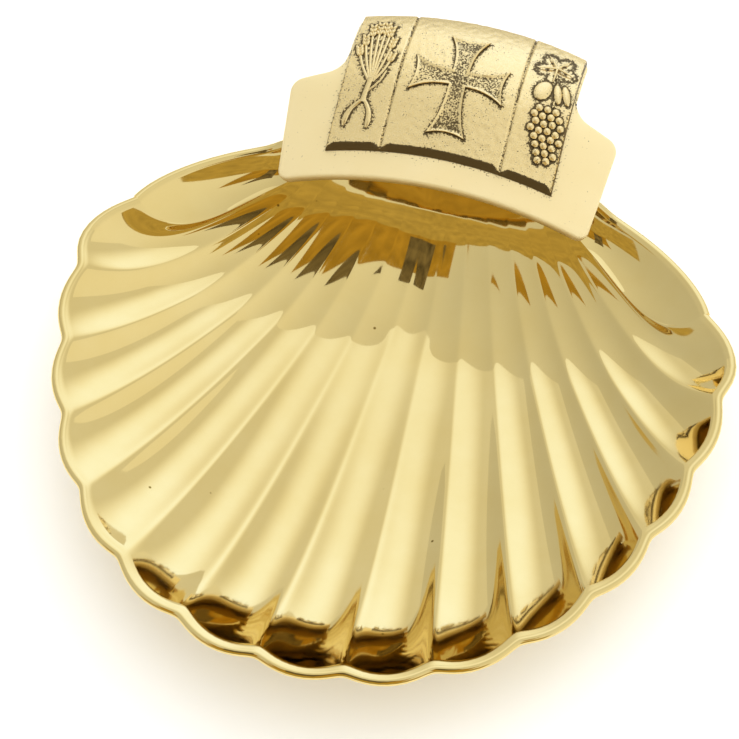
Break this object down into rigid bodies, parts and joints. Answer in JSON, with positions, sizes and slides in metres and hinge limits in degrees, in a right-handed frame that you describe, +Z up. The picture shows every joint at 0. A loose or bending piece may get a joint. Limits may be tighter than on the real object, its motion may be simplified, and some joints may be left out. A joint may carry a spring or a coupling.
{
  "type": "baptismal shell",
  "caption": "Fluted scallop bowl in polished brass with a lobed rim and a curled cast thumb plate at the back, for scooping and pouring water.",
  "frame": {"origin": "on the flat ground on the shell's belly, under the middle flute, where the front and back halves of the outline meet", "axes": "+Z up, +Y from the front lobes towards the handle, +X to the right as the pourer looks into the bowl from the front"},
  "size_m": [0.1212, 0.1362, 0.0321],
  "materials": {
    "shell_brass": "polished, with fine handling scratches",
    "plate_brass": "satin polished casting",
    "panel_brass": "sand-cast relief with dark patina in the hollows",
    "braze_metal": "dull brazing metal"
  },
  "bodies": {
    "root": {"shell_bowl": "shell_brass", "handle_plate": "plate_brass", "relief_panel": "panel_brass", "braze_seam": "braze_metal"}
  },
  "joints": []
}
